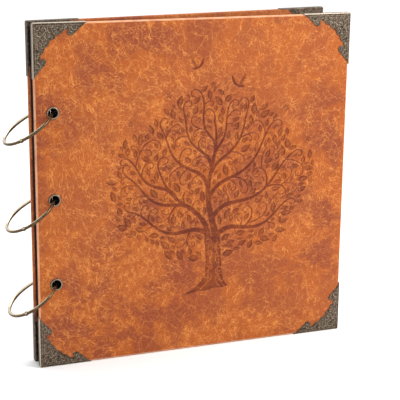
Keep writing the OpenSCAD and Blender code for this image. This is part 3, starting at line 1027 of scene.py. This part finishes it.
def leather_look():
    """Burnt-orange pull-up leather: red-brown islands, crossing pale hairlines, fine grain."""
    look = Look("pull_up_leather", Specular_IOR_Level=0.20)
    broad = look.warped(24.0, 0.012)
    close = look.warped(170.0, 0.0035, broad)
    islands = look.span(look.noise(42.0, 4.0, 0.6, broad), 0.42, 0.58)
    colour = look.mix(islands, (0.228, 0.045, 0.013), (0.340, 0.075, 0.008))
    cloud = look.span(look.noise(11.0, 2.0, 0.5), 0.38, 0.66)
    colour = look.mix(look.times(cloud, 0.5), colour, (0.405, 0.100, 0.015))
    hairs = look.times(look.span(look.cracks(88.0, close), 0.0, 0.035, 1.0, 0.0), 0.6)
    for k in range(5):
        there = look.span(look.noise(22.0 + 5.0 * k, 2.0, 0.5, broad), 0.46, 0.56)
        strand = look.strands(0.3 + 0.63 * k, 170.0 + 26.0 * k, 0.016, broad)
        hairs = look.maths("MAXIMUM", hairs, look.times(strand, there))
    fine = look.times(look.span(look.cracks(200.0, close), 0.0, 0.07, 1.0, 0.0), 0.35)
    broken = look.span(look.noise(170.0, 4.0, 0.7, close), 0.38, 0.56, 0.10, 1.0)
    hairs = look.times(look.maths("MAXIMUM", hairs, fine), broken)
    colour = look.mix(look.times(hairs, 0.88), colour, (0.660, 0.245, 0.055))
    grain = look.noise(1300.0, 3.0, 0.7)
    colour = look.mix(look.span(grain, 0.42, 0.66, 0.0, 0.46), colour, (0.190, 0.038, 0.014))
    pale = look.span(look.noise(900.0, 2.0, 0.6), 0.54, 0.70, 0.0, 0.14)
    colour = look.mix(pale, colour, (0.58, 0.23, 0.09))
    mark = look.mark()
    # pale rounded cover edges: partly rubbed wear, partly a painted highlight
    rubbed_and_highlit_edge = look.times(look.maths("MAXIMUM", look.times(mark, -1.0), 0.0),
                        look.span(look.noise(180.0, 3.0), 0.25, 0.6, 0.55, 1.0))
    colour = look.mix(look.times(rubbed_and_highlit_edge, 0.75), colour, (0.80, 0.42, 0.24))
    # the pressed design darkened: partly the burn of hot pressing, partly painted shade in the pressed
    # recesses
    tone = look.maths("MAXIMUM", mark, 0.0)
    tone_amount = look.times(tone, look.span(look.noise(260.0, 3.0), 0.25, 0.6, 0.85, 1.0))
    colour = look.mix(tone_amount, colour, (0.38, 0.215, 0.145), "MULTIPLY")
    pebble = look.cracks(820.0, look.warped(600.0, 0.0006), edge=False)
    normal = look.bump(pebble, 0.30, 0.00022)
    normal = look.bump(look.noise(330.0, 4.0, 0.6, close), 0.35, 0.0003, normal)
    normal = look.bump(hairs, 0.25, 0.00012, normal)
    rough = look.maths("ADD", look.span(grain, 0.2, 0.8, 0.48, 0.64), look.times(tone_amount, -0.08))
    return look.finish(colour, rough, normal)


def aged_metal_look(name, dark, mid, bright, rough, pits=1.0, wear_and_highlight_from=0.25, edge=None):
    """Antiqued plate: dark in the hollows, worn bright on what stands proud, with spots and small pits; where
    a part's tone mark is a painted highlight, as on the rings' upper side, the bright colour paints it.
    """
    look = Look(name, Metallic=1.0)
    tone = look.mark()
    spots = look.noise(620.0, 4.0, 0.7, look.warped(240.0, 0.002))
    blotch = look.noise(90.0, 3.0, 0.6)
    colour = look.mix(look.span(spots, 0.36, 0.62), dark, mid)
    colour = look.mix(look.span(blotch, 0.45, 0.75, 0.0, 0.5), colour, dark)
    # bright where the tone mark and spots ask: real wear on proud relief, and a painted highlight on the
    # rings' upper side and upper cheek
    wear_and_highlight = look.span(look.maths("ADD", tone, look.times(look.maths("SUBTRACT", spots, 0.5), 0.7)),
                     wear_and_highlight_from, wear_and_highlight_from + 0.75)
    colour = look.mix(wear_and_highlight, colour, bright)
    if edge:
        colour = look.mix(look.span(tone, 0.9, 1.5), colour, edge)
    normal = look.bump(spots, 0.28 * pits, 0.00012)
    normal = look.bump(look.noise(2300.0, 2.0), 0.12 * pits, 0.00004, normal)
    roughness = look.span(look.maths("SUBTRACT", spots, look.times(wear_and_highlight, 0.3)), 0.1, 0.7, rough - 0.12,
                          rough + 0.14)
    return look.finish(colour, roughness, normal)


def card_look(name, colour, pale, rough=0.85):
    """Heavy card: fine fibres and a slight mottle."""
    look = Look(name, Specular_IOR_Level=0.3)
    fibre = look.noise(1300.0, 4.0, 0.7, look.warped(500.0, 0.001))
    mottle = look.noise(60.0, 3.0)
    shade = look.mix(look.span(fibre, 0.35, 0.7, 0.0, 0.7), colour, pale)
    shade = look.mix(look.span(mottle, 0.4, 0.7, 0.0, 0.35), shade, colour)
    normal = look.bump(fibre, 0.25, 0.00008)
    return look.finish(shade, look.span(fibre, 0.3, 0.7, rough - 0.08, rough + 0.06), normal)


def board_look():
    """Grey-brown binder's board, with pressed fibres."""
    return card_look("binders_board", (0.23, 0.17, 0.11), (0.36, 0.28, 0.19), 0.9)


def floor_look():
    look = Look("pale_floor", Specular_IOR_Level=0.2)
    mottle = look.span(look.noise(3.0, 2.0), 0.3, 0.7)
    return look.finish(look.mix(mottle, (0.95, 0.95, 0.95), (0.97, 0.97, 0.97)), 0.7)


# ---- the album
leather = leather_look()
corner_metal = aged_metal_look("aged_bronze", (0.036, 0.026, 0.018), (0.150, 0.112, 0.080),
                               (0.56, 0.455, 0.345), 0.38, edge=(0.42, 0.36, 0.29))
eyelet_metal = aged_metal_look("eyelet_bronze", (0.028, 0.020, 0.014), (0.070, 0.051, 0.035),
                               (0.26, 0.205, 0.145), 0.34)
# ring brass: the bright colour serves as the painted highlight on the wire's upper side
ring_metal = aged_metal_look("ring_brass", (0.070, 0.044, 0.022), (0.120, 0.080, 0.042),
                             (0.80, 0.66, 0.46), 0.24, pits=0.2)
rivet_metal = aged_metal_look("rivet_brass", (0.10, 0.075, 0.045), (0.36, 0.29, 0.19), (0.6, 0.5, 0.36), 0.36)
brad_metal = aged_metal_look("brad_brass", (0.09, 0.07, 0.04), (0.34, 0.27, 0.16), (0.55, 0.45, 0.3), 0.38)
black_card = card_look("black_card", (0.008, 0.008, 0.009), (0.028, 0.027, 0.027))
lining = card_look("black_lining", (0.010, 0.010, 0.011), (0.036, 0.034, 0.033), 0.78)
board = board_look()

tree_middle = (0.55 * cover_w, 0.539 * cover_h)
tree_half = (0.308 * cover_w, 0.242 * cover_h)
tree_foot = 0.172 * cover_h


def front_design(relief):
    tree_design(relief, random.Random(7), tree_middle, tree_half, tree_foot)


corner_lift = corner_ornament(CORNER_FOLD, CORNER_STEP)
cover_leather("front", leather, front_design, seed=3)
cover_leather("back", leather, None, seed=4)
for side in SIDES:
    for top in (False, True):
        for fore in (False, True):
            metal_corner(side, top, fore, corner_lift, corner_metal)
    brads(side, brad_metal)
    for number in (1, 2, 3):
        eyelet(side, number, eyelet_metal)
    for node, finish in ((f"{side}_board", board), (f"{side}_liner", lining)):
        kept = frame["nodes"][node]
        kept.data.materials.clear()
        kept.data.materials.append(finish)
for number in (1, 2, 3):
    ring_pieces(number, ring_metal, rivet_metal)
leaf_packs(black_card)

# ---- floor, light and camera
scene = bpy.context.scene
work = bmesh.new()
bend_r = 1.2
sweep = [(-6.0, 0.0)]
sweep += [(3.2 + bend_r * math.sin(a), bend_r - bend_r * math.cos(a)) for a in np.radians(range(0, 91, 6))]
sweep += [(4.4, 5.0)]
rows = [[work.verts.new((x, y, z)) for x in (-8.0, 0.0, 8.0)] for y, z in sweep]
for low_row, high_row in zip(rows[:-1], rows[1:]):
    for k in (0, 1):
        work.faces.new((low_row[k], low_row[k + 1], high_row[k + 1], high_row[k]))
floor_mesh = bpy.data.meshes.new("studio_floor")
work.to_mesh(floor_mesh)
work.free()
floor_mesh.shade_smooth()
floor_mesh.materials.append(floor_look())
floor = bpy.data.objects.new("studio_floor", floor_mesh)
scene.collection.objects.link(floor)

world = bpy.data.worlds.new("studio")
world.use_nodes = True
world.node_tree.nodes["Background"].inputs["Color"].default_value = (1.0, 1.0, 1.0, 1.0)
world.node_tree.nodes["Background"].inputs["Strength"].default_value = 1.0
scene.world = world
scene.view_settings.view_transform = "Standard"


def softbox(name, place, aim, size, watts):
    light = bpy.data.lights.new(name, "AREA")
    light.shape = "RECTANGLE"
    light.size, light.size_y = size
    light.energy = watts
    lamp = bpy.data.objects.new(name, light)
    lamp.location = place
    lamp.rotation_euler = (Vector(aim) - Vector(place)).to_track_quat("-Z", "Y").to_euler()
    scene.collection.objects.link(lamp)


centre = (0.0, 0.0, 0.13)
softbox("key", (0.62, -0.46, 0.64), centre, (0.5, 0.5), 7)
softbox("fill", (-1.3, -1.2, 0.9), centre, (1.2, 1.2), 0.5)
softbox("top", (0.2, 0.8, 1.9), (0.0, 0.5, 0.0), (1.6, 1.2), 16)

camera_data = bpy.data.cameras.new("camera")
camera_data.lens = 110.1
camera_data.sensor_width = 36.0
camera_data.clip_end = 50.0
camera = bpy.data.objects.new("camera", camera_data)
ahead = Vector((0.34568, 0.90188, -0.25909))
up = Vector((0.0831, 0.2456, 0.9658))
side_way = ahead.cross(up).normalized()
up = side_way.cross(ahead)
camera.matrix_world = Matrix((
    (side_way.x, up.x, -ahead.x, -0.3113), (side_way.y, up.y, -ahead.y, -0.8629),
    (side_way.z, up.z, -ahead.z, 0.3635), (0, 0, 0, 1)))
scene.collection.objects.link(camera)
scene.camera = camera
